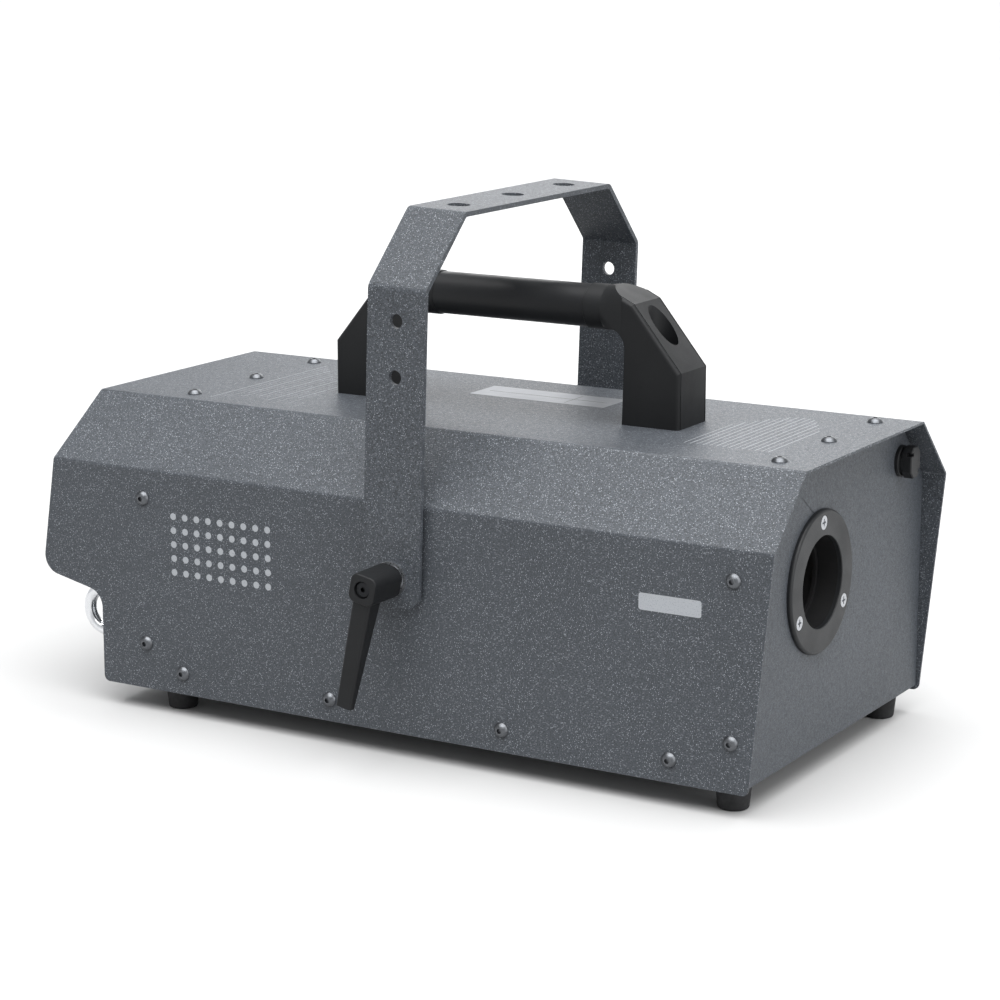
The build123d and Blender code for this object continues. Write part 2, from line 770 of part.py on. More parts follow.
with BuildPart() as lever_spring_near:
    with Locations(lever_plane.offset(lever_floor + 0.8)):
        add(make_coil(3.7, 0.5, 2.6, screw_head_at - lever_floor - 1.6))
finish(lever_spring_near.part, "lever_spring_near")


def arm_section(reach, height):
    """A plane across the lever's arm at this reach from the hub and height from the case's middle."""
    return Plane(
        origin=lever_plane.from_local_coords((0, -reach, height)),
        x_dir=lever_plane.x_dir,
        z_dir=-lever_plane.y_dir,
    )


with BuildPart() as clamp_lever_near:
    with BuildSketch(lever_plane.offset(hub_base)):
        RectangleRounded(19.8, 19.8, 7.2)
    with BuildSketch(lever_plane.offset(hub_face)):
        RectangleRounded(17.6, 17.8, 4.5)
    loft()
    rim = clamp_lever_near.faces().sort_by(Axis.Y)[0].edges()
    fillet(rim, 1.0)
    with BuildSketch(arm_section(4.0, 153.4)):
        RectangleRounded(13.0, 13.2, 2.0)
    with BuildSketch(arm_section(arm_reach, 157.2)):
        RectangleRounded(10.4, 5.6, 1.4)
    loft()
    with BuildSketch(lever_plane.offset(hub_face + 1)):
        Circle(5.3)
    extrude(amount=lever_floor - hub_face - 1, mode=Mode.SUBTRACT)
    with BuildSketch(lever_plane.offset(hub_base - 1)):
        Circle(spline_radius + fit_gap)
    extrude(amount=insert_top + 0.5 - hub_base + 1, mode=Mode.SUBTRACT)
    with BuildSketch(lever_plane.offset(hub_base - 1)):
        Circle(2.8)
    extrude(amount=lever_floor - hub_base + 2, mode=Mode.SUBTRACT)
finish(clamp_lever_near.part, "clamp_lever_near")

# Far side clamp lever: the near one mirrored
near_pieces = {
    "clamp_insert_far": clamp_insert_near.part,
    "lever_screw_far": lever_screw_near.part,
    "lever_spring_far": lever_spring_near.part,
    "clamp_lever_far": clamp_lever_near.part,
}
for label, near_piece in near_pieces.items():
    with BuildPart() as far_piece:
        mirror(near_piece, about=Plane.XZ)
    finish(far_piece.part, label)

# Safety eye: an eye bolt through the rear panel
eye_rise = 18.0
with BuildPart() as safety_eye:
    with BuildSketch(rear_plane(eye_at)):
        Circle(10.0)
    with BuildSketch(rear_plane(eye_at, 5.0)):
        Circle(8.0)
    loft()
    with BuildSketch(rear_plane(eye_at, 4.0)):
        Circle(5.0)
    extrude(amount=3)
    with Locations(
        Plane(origin=(rear_face_x - eye_rise, eye_at[0], eye_at[1]), z_dir=(0, 1, 0))
    ):
        Torus(14.0, 4.0)
    with BuildSketch(rear_plane(eye_at)):
        Circle(eye_stud)
    extrude(amount=-15)
finish(safety_eye.part, "safety_eye")

with BuildPart() as hex_nuts:
    with BuildSketch(rear_plane(eye_at, -sheet)):
        RegularPolygon(radius=hex_m8, side_count=6, major_radius=False)
        Circle(eye_stud + 0.1, mode=Mode.SUBTRACT)
    extrude(amount=-6.5)
    with BuildSketch(*[Plane(origin=(x, 0, cover_top - sheet)) for x in handle_screw_x]):
        RegularPolygon(radius=hex_m6, side_count=6, major_radius=False)
        Circle(m6_radius + 0.1, mode=Mode.SUBTRACT)
    extrude(amount=-5)
finish(hex_nuts.part, "hex_nuts")

# Control bezel, window and buttons
bezel_depth = 3.0
with BuildPart() as control_bezel:
    with BuildSketch(rear_plane(bezel_at)):
        RectangleRounded(*bezel_size, 5)
    extrude(amount=bezel_depth)
    chamfer(control_bezel.edges().group_by(Axis.X)[0], 0.8)
    with Locations(rear_plane(window_place)):
        Box(*window_cut, 8, mode=Mode.SUBTRACT)
    with Locations(*[rear_plane(p, bezel_depth) for p in button_places]):
        Hole(button_hole, depth=bezel_depth + 1)
finish(control_bezel.part, "control_bezel")

with BuildPart() as display_window:
    with BuildSketch(rear_plane(window_place, -6.0)):
        Rectangle(*window_size)
    extrude(amount=bezel_depth - 0.6 + 6.0)
finish(display_window.part, "display_window")

button_names = ("menu_button", "up_button", "down_button", "enter_button")
for button_name, button_place in zip(button_names, button_places):
    with BuildPart() as button:
        with BuildSketch(rear_plane(button_place, -4.1)):
            Circle(button_radius)
        extrude(amount=bezel_depth + 2.4 + 4.1)
        fillet(button.edges().group_by(Axis.X)[0], 0.8)
        with BuildSketch(rear_plane(button_place, -3.3)):
            Circle(5.6)
        extrude(amount=1.4)
    finish(button.part, button_name)

# Control board behind the bezel, with its button switches, on four posts
board_inner = 9.5
with BuildPart() as control_board:
    with BuildSketch(rear_plane(bezel_at, -board_inner)):
        Rectangle(126, 38)
    extrude(amount=-1.6)
    with BuildSketch(*[rear_plane(p, -board_inner) for p in button_places]):
        Rectangle(6, 6)
    extrude(amount=3.6)
    with BuildSketch(rear_plane((bezel_at[0], bezel_at[1]), -board_inner - 1.6)):
        with Locations((-30, 4)):
            Rectangle(18, 18)
        with Locations((20, -6)):
            Rectangle(12, 20)
    extrude(amount=-3)
    post_places = [(bezel_at[0] + a * 59.0, bezel_at[1] + b * 16.0) for a in (-1, 1) for b in (-1, 1)]
    with BuildSketch(*[rear_plane(p, -board_inner) for p in post_places]):
        Circle(2.5)
    extrude(amount=board_inner - sheet)
finish(control_board.part, "control_board")

# Data sockets: pins in one, contact holes in the other
def socket_blank(place):
    """A flanged round socket body without its contacts."""
    with BuildPart() as blank:
        with BuildSketch(rear_plane(place)):
            RectangleRounded(*socket_flange, 3)
        extrude(amount=socket_thick)
        chamfer(blank.edges().group_by(Axis.X)[0], 0.5)
        with BuildSketch(rear_plane(place)):
            Circle(socket_body)
        extrude(amount=-20)
        with Locations(*[p for p in socket_screw_planes if abs(p.origin.Y - place[0]) < 12]):
            CounterSinkHole(small_clear, small_sink, depth=8, counter_sink_angle=90)
    return blank.part


with BuildPart() as data_socket_in:
    add(socket_blank(socket_in_at))
    with BuildSketch(rear_plane(socket_in_at, socket_thick)):
        Circle(socket_mouth)
    extrude(amount=-16, mode=Mode.SUBTRACT)
    with BuildSketch(rear_plane(socket_in_at, -14.0)):
        with PolarLocations(contact_circle, 3, start_angle=-90):
            Circle(1.2)
    extrude(amount=13)
finish(data_socket_in.part, "data_socket_in")

with BuildPart() as data_socket_out:
    add(socket_blank(socket_out_at))
    with BuildSketch(rear_plane(socket_out_at, socket_thick)):
        Circle(socket_mouth)
        Circle(socket_mouth - 1.5, mode=Mode.SUBTRACT)
    extrude(amount=-1.2, mode=Mode.SUBTRACT)
    with BuildSketch(rear_plane(socket_out_at, socket_thick)):
        with PolarLocations(contact_circle, 3, start_angle=-90):
            Circle(1.4)
        with Locations((0, 12.6)):
            Rectangle(7, 2.4)
    extrude(amount=-10, mode=Mode.SUBTRACT)
finish(data_socket_out.part, "data_socket_out")

# Mains switch: snap-in frame and rocker on a cross pin
switch_thick = 1.8
pin_radius = 1.2
pin_x = rear_face_x + 1.0
with BuildPart() as switch_frame:
    with BuildSketch(rear_plane(switch_at)):
        RectangleRounded(switch_body[0] + 2, switch_body[1] + 2, 1.5)
    extrude(amount=switch_thick)
    with BuildSketch(rear_plane(switch_at)):
        Rectangle(*switch_body)
    extrude(amount=-18)
    with BuildSketch(rear_plane(switch_at, switch_thick)):
        Rectangle(10.6, 16.6)
    extrude(amount=-14, mode=Mode.SUBTRACT)
    with BuildSketch(Plane(origin=(pin_x, switch_at[0] - 6, switch_at[1]), z_dir=(0, 1, 0))):
        Circle(pin_radius)
    extrude(amount=12)
finish(switch_frame.part, "switch_frame")

# The rocker is drawn pressed at its top; local x points out of the panel and local y up
rocker_throw = 20.0
rocker_tilt = radians(rocker_throw / 2)
rocker_plane = Plane(
    origin=(pin_x, switch_at[0] - 5, switch_at[1]),
    x_dir=(-cos(rocker_tilt), 0, sin(rocker_tilt)),
    z_dir=(0, 1, 0),
)
with BuildPart() as switch_rocker:
    with BuildSketch(rocker_plane):
        with BuildLine():
            Polyline((2.2, 7.0), (-4.6, 7.0), (-4.6, -7.0), (2.2, -7.0))
            ThreePointArc((2.2, -7.0), (0.9, 0), (2.2, 7.0))
        make_face()
        Circle(pin_radius + running, mode=Mode.SUBTRACT)
    extrude(amount=10)
finish(switch_rocker.part, "switch_rocker")

# Mains inlet with three blades, and the fuse drawer below it
plug_well = (inlet_at[0], inlet_at[1] + 4.0)
drawer_at = (inlet_at[0], inlet_at[1] - 9.6)
drawer_size = (22.0, 6.0)
with BuildPart() as power_inlet:
    with BuildSketch(rear_plane(inlet_at)):
        RectangleRounded(50, 31, 4)
    extrude(amount=inlet_thick)
    with BuildSketch(rear_plane(inlet_at)):
        Rectangle(*inlet_body)
    extrude(amount=-22)
    with BuildSketch(rear_plane(plug_well, inlet_thick)):
        Rectangle(24.4, 16.6)
        chamfer(vertices().group_by(Axis.Y)[-1], 4)
    extrude(amount=-19, mode=Mode.SUBTRACT)
    with BuildSketch(rear_plane(plug_well, -16.0)):
        with Locations((-7, -2.5), (7, -2.5), (0, -2.5)):
            Rectangle(2, 4.6)
    extrude(amount=14)
    with Locations(*inlet_screw_planes):
        CounterSinkHole(small_clear, small_sink, depth=10, counter_sink_angle=90)
    with BuildSketch(rear_plane(drawer_at, inlet_thick)):
        Rectangle(drawer_size[0] + 2 * fit_gap, drawer_size[1] + 2 * fit_gap)
    extrude(amount=-21, mode=Mode.SUBTRACT)
finish(power_inlet.part, "power_inlet")

with BuildPart() as fuse_drawer:
    with BuildSketch(rear_plane(drawer_at, 4.2)):
        Rectangle(*drawer_size)
    extrude(amount=-21)
    chamfer(fuse_drawer.edges().group_by(Axis.X)[0], 0.6)
    with BuildSketch(Plane(origin=(rear_face_x + 6.0, inlet_at[0], inlet_at[1] - 6.6))):
        Rectangle(14.0, 17.0)
    extrude(amount=-3.6, mode=Mode.SUBTRACT)
finish(fuse_drawer.part, "fuse_drawer")

# Fluid tank and its sloping filler
tank_low = (-186.0, 24.0, 24.6)
tank_size = (166.0, 88.0, 121.0)
tank_wall = 2.2
tank_corner = 9.0
tank_middle = tuple(low + size / 2 for low, size in zip(tank_low, tank_size))
with BuildPart() as tank_space:
    with Locations(tank_middle):
        Box(*[size - 2 * tank_wall for size in tank_size])
    fillet(tank_space.edges(), tank_corner - tank_wall)

with BuildPart() as fluid_tank:
    with Locations(tank_middle):
        Box(*tank_size)
    fillet(fluid_tank.edges(), tank_corner)
    with BuildSketch(filler_plane.offset(-46)):
        Circle(16.5)
    extrude(amount=22)
    add(tank_space.part, mode=Mode.SUBTRACT)
    with BuildSketch(filler_plane.offset(-60)):
        Circle(neck_radius + 0.1)
    extrude(amount=60, mode=Mode.SUBTRACT)
    outlet = Plane(origin=(-100.0, tank_low[1], pump_z), z_dir=(0, -1, 0))
    with BuildSketch(outlet):
        Circle(4.6)
    extrude(amount=-3)
    with BuildSketch(outlet):
        Circle(2.4)
    extrude(amount=-6, mode=Mode.SUBTRACT)
finish(fluid_tank.part, "fluid_tank")

cap_height = 13.0
neck_top = 22.0
with BuildPart() as filler_neck:
    with BuildSketch(filler_plane.offset(-38)):
        Circle(neck_radius)
        Circle(neck_bore, mode=Mode.SUBTRACT)
    extrude(amount=38 + neck_top)
finish(filler_neck.part, "filler_neck")

with BuildPart() as filler_cap:
    with BuildSketch(filler_plane.offset(neck_top - 8)):
        Circle(cap_radius)
        with PolarLocations(cap_radius + 0.6, 24):
            Circle(1.2, mode=Mode.SUBTRACT)
    extrude(amount=cap_height)
    chamfer(filler_cap.faces().sort_by(Axis.X)[0].outer_wire().edges(), 0.5)
    with BuildSketch(filler_plane.offset(neck_top - 9)):
        Circle(neck_radius + fit_gap)
    extrude(amount=9.3, mode=Mode.SUBTRACT)
finish(filler_cap.part, "filler_cap")

# Heater: a solid block in an insulating sleeve, with its nozzle and thermal cut-out
heater_front = 204.0
heater_length = 160.0
with BuildPart() as heater_block:
    with BuildSketch(front_plane(nozzle_y, nozzle_z, heater_front - front_face_x)):
        Circle(heater_radius)
    extrude(amount=-heater_length)
    chamfer(heater_block.edges().filter_by(GeomType.CIRCLE), 1.5)
finish(heater_block.part, "heater_block")

with BuildPart() as heater_insulation:
    with BuildSketch(front_plane(nozzle_y, nozzle_z, heater_front - 4 - front_face_x)):
        Circle(insulation_radius)
        Circle(heater_radius, mode=Mode.SUBTRACT)
    extrude(amount=-heater_length + 8)
finish(heater_insulation.part, "heater_insulation")

with BuildPart() as fog_nozzle:
    with BuildSketch(front_plane(nozzle_y, nozzle_z, heater_front - front_face_x)):
        RegularPolygon(radius=9, side_count=6, major_radius=False)
    extrude(amount=6)
    with BuildSketch(front_plane(nozzle_y, nozzle_z, heater_front + 6 - front_face_x)):
        Circle(6)
    with BuildSketch(front_plane(nozzle_y, nozzle_z, heater_front + 16 - front_face_x)):
        Circle(3)
    loft()
    with BuildSketch(front_plane(nozzle_y, nozzle_z, heater_front + 16 - front_face_x)):
        Circle(1)
    extrude(amount=-16, mode=Mode.SUBTRACT)
finish(fog_nozzle.part, "fog_nozzle")

heater_rear = heater_front - heater_length
with BuildPart() as thermal_cutout:
    with BuildSketch(front_plane(nozzle_y, nozzle_z + 20, heater_rear - front_face_x)):
        Circle(8)
    extrude(amount=-6)
    with BuildSketch(front_plane(nozzle_y, nozzle_z + 20, heater_rear - 6 - front_face_x)):
        with Locations((-4, 0), (4, 0)):
            Rectangle(1, 5)
    extrude(amount=-6)
finish(thermal_cutout.part, "thermal_cutout")

# Folded brackets: two round the heater, one under the pump
heater_bracket_x = (60.0, 186.0)
with BuildPart() as inner_brackets:
    for x in heater_bracket_x:
        with BuildSketch(Plane.YZ.offset(x)):
            with Locations((nozzle_y, (floor_top + nozzle_z + 54) / 2)):
                Rectangle(104, nozzle_z + 54 - floor_top)
            with Locations((nozzle_y, nozzle_z)):
                Circle(insulation_radius, mode=Mode.SUBTRACT)
        extrude(amount=2)
        with Locations((x + 8, nozzle_y, floor_top + 1)):
            Box(16, 104, 2)
    with Locations((-40, pump_y, floor_top + 1)):
        Box(56, 60, 2)
    for x in (-66, -14):
        with Locations((x, pump_y, (floor_top + 34) / 2)):
            Box(2, 24, 34 - floor_top)
finish(inner_brackets.part, "inner_brackets")

# Pump: solenoid coil round a barrel with a sprung piston
pump_rear = -78.0
pump_front = 0.0
pump_barrel = 9.0
pump_bore = 6.3


def pump_plane(x):
    """A plane across the pump, facing forwards."""
    return Plane(origin=(x, pump_y, pump_z), x_dir=(0, 1, 0), z_dir=(1, 0, 0))


with BuildPart() as pump_body:
    with BuildSketch(pump_plane(pump_rear)):
        Circle(pump_barrel)
    extrude(amount=pump_front - pump_rear)
    for x in (pump_rear, pump_front):
        with BuildSketch(pump_plane(x)):
            Circle(3.0)
        extrude(amount=8 if x == pump_front else -8)
    with BuildSketch(pump_plane(-62.0)):
        Circle(pump_bore)
    extrude(amount=54, mode=Mode.SUBTRACT)
    with BuildSketch(pump_plane(pump_rear - 8)):
        Circle(1.5)
    extrude(amount=pump_front - pump_rear + 16, mode=Mode.SUBTRACT)
finish(pump_body.part, "pump_body")

with BuildPart() as pump_coil:
    with BuildSketch(pump_plane(-60.0)):
        RectangleRounded(36, 36, 3)
        Circle(pump_barrel + 0.1, mode=Mode.SUBTRACT)
    extrude(amount=40)
finish(pump_coil.part, "pump_coil")

with BuildPart() as pump_piston:
    with BuildSketch(pump_plane(-60.0)):
        Circle(pump_bore - running)
        Circle(1.2, mode=Mode.SUBTRACT)
    extrude(amount=26)
    with BuildSketch(pump_plane(-34.0)):
        Circle(3.4)
        Circle(1.2, mode=Mode.SUBTRACT)
    extrude(amount=5)
finish(pump_piston.part, "pump_piston")

with BuildPart() as pump_spring:
    with Locations(pump_plane(-33.2)):
        add(make_coil(4.9, 0.6, 3.2, 24.2))
finish(pump_spring.part, "pump_spring")

# Hoses and leads
feed_hose = make_tube(
    [(-100.0, tank_low[1], pump_z), (-100.0, pump_y, pump_z), (pump_rear - 8, pump_y, pump_z)], 3.4, 12
)
finish(feed_hose, "feed_hose")

pressure_hose = make_tube(
    [
        (pump_front + 8, pump_y, pump_z),
        (26.0, pump_y, pump_z),
        (26.0, nozzle_y, nozzle_z),
        (heater_rear, nozzle_y, nozzle_z),
    ],
    2.0,
    8,
)
finish(pressure_hose, "pressure_hose")

board_low = 33.0
board_thick = 1.6
lead_routes = [
    [(-92.0, -98.0, 36.0), (12.0, -98.0, 36.0), (20.0, -52.0, 112.0), (heater_rear, -52.0, 112.0)],
    [(-92.0, -82.0, 40.0), (-40.0, -82.0, 40.0), (-40.0, pump_y - 18.0, 40.0)],
    [(-198.0, -85.0, 132.0), (-180.0, -85.0, 132.0), (-180.0, -85.0, board_low + board_thick)],
]
with BuildPart() as wiring:
    for lead_route in lead_routes:
        add(make_tube(lead_route, 1.8, 6))
finish(wiring.part, "wiring")

# Power board on posts above the floor
with BuildPart() as power_board:
    with BuildSketch(Plane.XY.offset(board_low)):
        with Locations((-142, -70)):
            Rectangle(100, 80)
    extrude(amount=board_thick)
    with BuildSketch(Plane.XY.offset(floor_top)):
        with Locations((-142, -70)):
            with GridLocations(90, 70, 2, 2):
                Circle(3)
    extrude(amount=board_low - floor_top)
    for x, y, wide, deep, tall in (
        (-165, -50, 22, 18, 16),
        (-120, -50, 28, 26, 24),
        (-150, -92, 30, 16, 20),
    ):
        with BuildSketch(Plane.XY.offset(board_low + board_thick)):
            with Locations((x, y)):
                Rectangle(wide, deep)
        extrude(amount=tall)
    with BuildSketch(Plane.XY.offset(board_low + board_thick)):
        with Locations((-184, -45), (-184, -100)):
            Circle(6)
    extrude(amount=22)
finish(power_board.part, "power_board")
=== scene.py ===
import json
import math

import bmesh
import bpy
from mathutils import Matrix, Vector


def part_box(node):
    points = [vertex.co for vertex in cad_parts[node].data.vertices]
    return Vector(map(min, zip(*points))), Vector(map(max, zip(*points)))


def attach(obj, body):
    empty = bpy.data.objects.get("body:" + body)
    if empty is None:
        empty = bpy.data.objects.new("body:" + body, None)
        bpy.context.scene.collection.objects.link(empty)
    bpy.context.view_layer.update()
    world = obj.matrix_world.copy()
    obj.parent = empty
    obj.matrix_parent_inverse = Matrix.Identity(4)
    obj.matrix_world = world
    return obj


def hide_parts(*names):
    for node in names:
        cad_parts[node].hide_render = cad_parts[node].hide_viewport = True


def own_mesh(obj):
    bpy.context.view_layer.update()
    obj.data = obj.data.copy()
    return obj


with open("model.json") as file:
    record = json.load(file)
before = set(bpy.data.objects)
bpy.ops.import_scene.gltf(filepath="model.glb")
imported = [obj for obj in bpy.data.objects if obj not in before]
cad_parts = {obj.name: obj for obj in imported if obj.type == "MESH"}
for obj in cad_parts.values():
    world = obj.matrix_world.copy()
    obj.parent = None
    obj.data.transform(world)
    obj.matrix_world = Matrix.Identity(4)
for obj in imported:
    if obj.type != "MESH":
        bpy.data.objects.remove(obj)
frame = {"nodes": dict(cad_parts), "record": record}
bpy.context.view_layer.update()
NODES = frame["nodes"]

MM = 0.001


# ---------------------------------------------------------------- node helpers


class Tree:
    """A short way to build a material's nodes."""

    def __init__(self, name):
        self.material = bpy.data.materials.new(name)
        self.material.use_nodes = True
        self.nodes = self.material.node_tree.nodes
        self.links = self.material.node_tree.links
        self.nodes.clear()
        self.output = self.nodes.new("ShaderNodeOutputMaterial")
        self.shader = self.nodes.new("ShaderNodeBsdfPrincipled")
        self.links.new(self.shader.outputs["BSDF"], self.output.inputs["Surface"])
        self.place = self.nodes.new("ShaderNodeTexCoord").outputs["Object"]

    def put(self, socket, value):
        """Links an output to a socket, or sets the socket to a constant."""
        if isinstance(value, bpy.types.NodeSocket):
            self.links.new(value, socket)
        else:
            socket.default_value = value

    def set(self, name, value):
        """Links or sets one of the shader's own inputs."""
        self.put(self.shader.inputs[name], value)

    def stretched(self, scale):
        """The object coordinates with each axis scaled."""
        node = self.nodes.new("ShaderNodeMapping")
        self.put(node.inputs["Vector"], self.place)
        node.inputs["Scale"].default_value = scale
        return node.outputs["Vector"]

    def noise(self, scale, detail=2.0, rough=0.5, vector=None):
        """Noise from 0 to 1; scale is in cells a metre."""
        node = self.nodes.new("ShaderNodeTexNoise")
        self.put(node.inputs["Vector"], vector or self.place)
        node.inputs["Scale"].default_value = scale
        node.inputs["Detail"].default_value = detail
        node.inputs["Roughness"].default_value = rough
        return node.outputs["Fac"]

    def cells(self, scale, feature="F1"):
        """A Voronoi node; scale is in cells a metre."""
        node = self.nodes.new("ShaderNodeTexVoronoi")
        node.feature = feature
        self.put(node.inputs["Vector"], self.place)
        node.inputs["Scale"].default_value = scale
        return node

    def ranged(self, value, low, high, out_low, out_high):
        """value from low..high to out_low..out_high, held at the ends."""
        node = self.nodes.new("ShaderNodeMapRange")
        self.put(node.inputs["Value"], value)
        node.inputs["From Min"].default_value = low
        node.inputs["From Max"].default_value = high
        node.inputs["To Min"].default_value = out_low
        node.inputs["To Max"].default_value = out_high
        return node.outputs["Result"]

    def math(self, operation, first, second):
        """A Math node."""
        node = self.nodes.new("ShaderNodeMath")
        node.operation = operation
        self.put(node.inputs[0], first)
        self.put(node.inputs[1], second)
        return node.outputs[0]

    def mix(self, share, first, second, blend="MIX"):
        """A colour mix."""
        node = self.nodes.new("ShaderNodeMix")
        node.data_type = "RGBA"
        node.blend_type = blend
        self.put(node.inputs["Factor"], share)
        for socket, value in ((node.inputs[6], first), (node.inputs[7], second)):
            self.put(socket, value if isinstance(value, bpy.types.NodeSocket) else (*value, 1.0))
        return node.outputs[2]

    def split(self, colour):
        """The red, green and blue of a colour output."""
        node = self.nodes.new("ShaderNodeSeparateColor")
        self.put(node.inputs[0], colour)
        return node.outputs

    def grey(self, value):
        """A grey colour from one number."""
        node = self.nodes.new("ShaderNodeCombineColor")
        for socket in node.inputs:
            self.put(socket, value)
        return node.outputs[0]

    def bump(self, height, strength, depth, normal=None):
        """A bump of this height; depth is in metres."""
        node = self.nodes.new("ShaderNodeBump")
        node.inputs["Strength"].default_value = strength
        node.inputs["Distance"].default_value = depth
        self.put(node.inputs["Height"], height)
        if normal:
            self.put(node.inputs["Normal"], normal)
        return node.outputs["Normal"]


def powder_coat(name, base, fleck, rough=0.5):
    """Fine-textured powder coat: mottled base, bright metal flecks and a pebbled skin."""
    t = Tree(name)
    cloud = t.ranged(t.noise(9.0, 3.0), 0.3, 0.7, 0.94, 1.06)
    mottle = t.ranged(t.noise(1100.0, 3.0, 0.7), 0.32, 0.68, 0.42, 1.58)
    shade = t.math("MULTIPLY", cloud, mottle)
    body = t.mix(1.0, base, t.grey(shade), "MULTIPLY")
    cell = t.cells(1500.0)
    chosen = t.ranged(t.split(cell.outputs["Color"])[0], 0.66, 1.0, 0.0, 0.8)
    spot = t.ranged(cell.outputs["Distance"], 0.2, 0.5, 1.0, 0.0)
    flake = t.math("MULTIPLY", chosen, spot)
    t.set("Base Color", t.mix(flake, body, fleck))
    t.set("Metallic", t.ranged(flake, 0.0, 1.0, 0.0, 0.5))
    t.set("Roughness", t.ranged(t.noise(400.0), 0.3, 0.7, rough - 0.05, rough + 0.07))
    t.set("Specular IOR Level", 0.36)
    peel = t.bump(t.noise(330.0, 2.0), 0.35, 0.00012)
    t.set("Normal", t.bump(t.noise(1150.0, 2.0, 0.6), 0.55, 0.00014, peel))
    return t.material


def moulded(name, base, rough=0.48, grain=1.0, coat=0.0, shine=0.2):
    """Moulded plastic: fine spark-eroded grain, faint flow marks and handling sheen."""
    t = Tree(name)
    flow = t.ranged(t.noise(22.0, 4.0, 0.6), 0.3, 0.7, 0.85, 1.18)
    speck = t.ranged(t.noise(2600.0, 2.0), 0.3, 0.7, 0.9, 1.12)
    t.set("Base Color", t.mix(1.0, base, t.grey(t.math("MULTIPLY", flow, speck)), "MULTIPLY"))
    rubbed = t.noise(38.0, 5.0, 0.6)
    t.set("Roughness", t.ranged(rubbed, 0.3, 0.75, rough - 0.06, rough + 0.1))
    t.set("Specular IOR Level", shine)
    t.set("Coat Weight", coat)
    t.set("Coat Roughness", 0.2)
    t.set("Normal", t.bump(t.noise(1900.0, 3.0, 0.6), 0.35 * grain, 0.00008))
    return t.material


def metal(name, base, rough=0.3, brushed=None, tarnish=0.12):
    """Bare or plated metal with fine scratches, along an axis if brushed is given."""
    t = Tree(name)
    blotch = t.noise(160.0, 4.0, 0.6)
    t.set(
        "Base Color",
        t.mix(t.ranged(blotch, 0.35, 0.7, 0.0, 1.0), base, [c * (1 - tarnish) for c in base]),
    )
    lines = t.noise(1.0, 3.0, 0.7, t.stretched(brushed or (900.0, 900.0, 900.0)))
    t.set("Metallic", 1.0)
    t.set("Roughness", t.ranged(lines, 0.3, 0.7, rough - 0.08, rough + 0.12))
    t.set("Normal", t.bump(lines, 0.25, 0.00004))
    return t.material


def rubber(name, base, rough=0.68):
    """Soft matt rubber with dust in its pores."""
    t = Tree(name)
    dust = t.ranged(t.noise(70.0, 5.0, 0.7), 0.5, 0.78, 0.0, 0.35)
    t.set("Base Color", t.mix(dust, base, [c * 2.6 + 0.01 for c in base]))
    t.set("Roughness", t.ranged(t.noise(300.0), 0.3, 0.7, rough - 0.06, rough + 0.12))
    t.set("Specular IOR Level", 0.35)
    t.set("Normal", t.bump(t.noise(1500.0, 3.0, 0.7), 0.4, 0.0001))
    return t.material


def ink(name, base, rough=0.5):
    """Screen-printed ink that follows the coat's texture, with tiny pinholes."""
    t = Tree(name)
    holes = t.ranged(t.noise(1300.0, 3.0, 0.7), 0.3, 0.46, 0.55, 1.0)
    t.set("Base Color", t.mix(1.0, base, t.grey(holes), "MULTIPLY"))
    t.set("Roughness", t.ranged(t.noise(500.0), 0.3, 0.7, rough, rough + 0.1))
    t.set("Normal", t.bump(t.noise(1150.0, 2.0, 0.6), 0.4, 0.00012))
    return t.material


def fibre(name, base):
    """Wrapped mineral fibre."""
    t = Tree(name)
    strands = t.noise(1.0, 5.0, 0.7, t.stretched((120.0, 900.0, 900.0)))
    t.set("Base Color", t.mix(strands, [c * 0.7 for c in base], base))
    t.set("Roughness", 0.92)
    t.set("Normal", t.bump(strands, 0.8, 0.0006))
    return t.material


def board(name, base):
    """Circuit board: green lacquer over copper tracks."""
    t = Tree(name)
    tracks = t.cells(190.0, "DISTANCE_TO_EDGE").outputs["Distance"]
    line = t.ranged(tracks, 0.03, 0.06, 1.0, 0.0)
    t.set("Base Color", t.mix(line, base, [c * 1.7 + 0.02 for c in base]))
    t.set("Roughness", t.ranged(t.noise(400.0), 0.3, 0.7, 0.3, 0.42))
    t.set("Normal", t.bump(line, 0.3, 0.00005))
    return t.material


def smoked(name, base):
    """Smoked glossy window with a faint hard-coat ripple and fine wipe marks."""
    t = Tree(name)
    wipe = t.noise(1.0, 3.0, 0.6, t.stretched((60.0, 60.0, 700.0)))
    t.set("Base Color", t.mix(wipe, base, [c * 1.5 for c in base]))
    t.set("Roughness", t.ranged(wipe, 0.35, 0.75, 0.05, 0.14))
    t.set("Coat Weight", 0.6)
    t.set("Coat Roughness", 0.04)
    t.set("Normal", t.bump(t.noise(30.0, 2.0), 0.06, 0.0002))
    return t.material


CASE = (0.043, 0.0485, 0.0565)
FLECK = (0.46, 0.49, 0.53)
case_paint = powder_coat("case_powder_coat", CASE, FLECK)
yoke_paint = powder_coat("yoke_powder_coat", [c * 0.96 for c in CASE], FLECK)
black_plastic = moulded("moulded_black_nylon", (0.0085, 0.009, 0.0098))
tube_black = moulded("tube_satin_black", (0.0095, 0.01, 0.011), 0.4, 0.5)
socket_plastic = moulded("socket_black_plastic", (0.012, 0.012, 0.013), 0.34, 0.4, 0.0, 0.4)
button_soft = rubber("button_silicone", (0.085, 0.088, 0.094), 0.6)
flange_coat = moulded("flange_black_coat", (0.0115, 0.0125, 0.0138), 0.42, 1.3, 0.0, 0.3)
# The sleeve's near-black colour is painted shade for the deep outlet mouth, not the sleeve's own
# finish
sleeve_painted_shade = moulded("sleeve_black_painted_shade", (0.008, 0.008, 0.0085), 0.6, 1.2)
dark_nickel = metal("dark_nickel_plate", (0.13, 0.136, 0.146), 0.36)
black_oxide = metal("black_oxide", (0.028, 0.029, 0.031), 0.42)
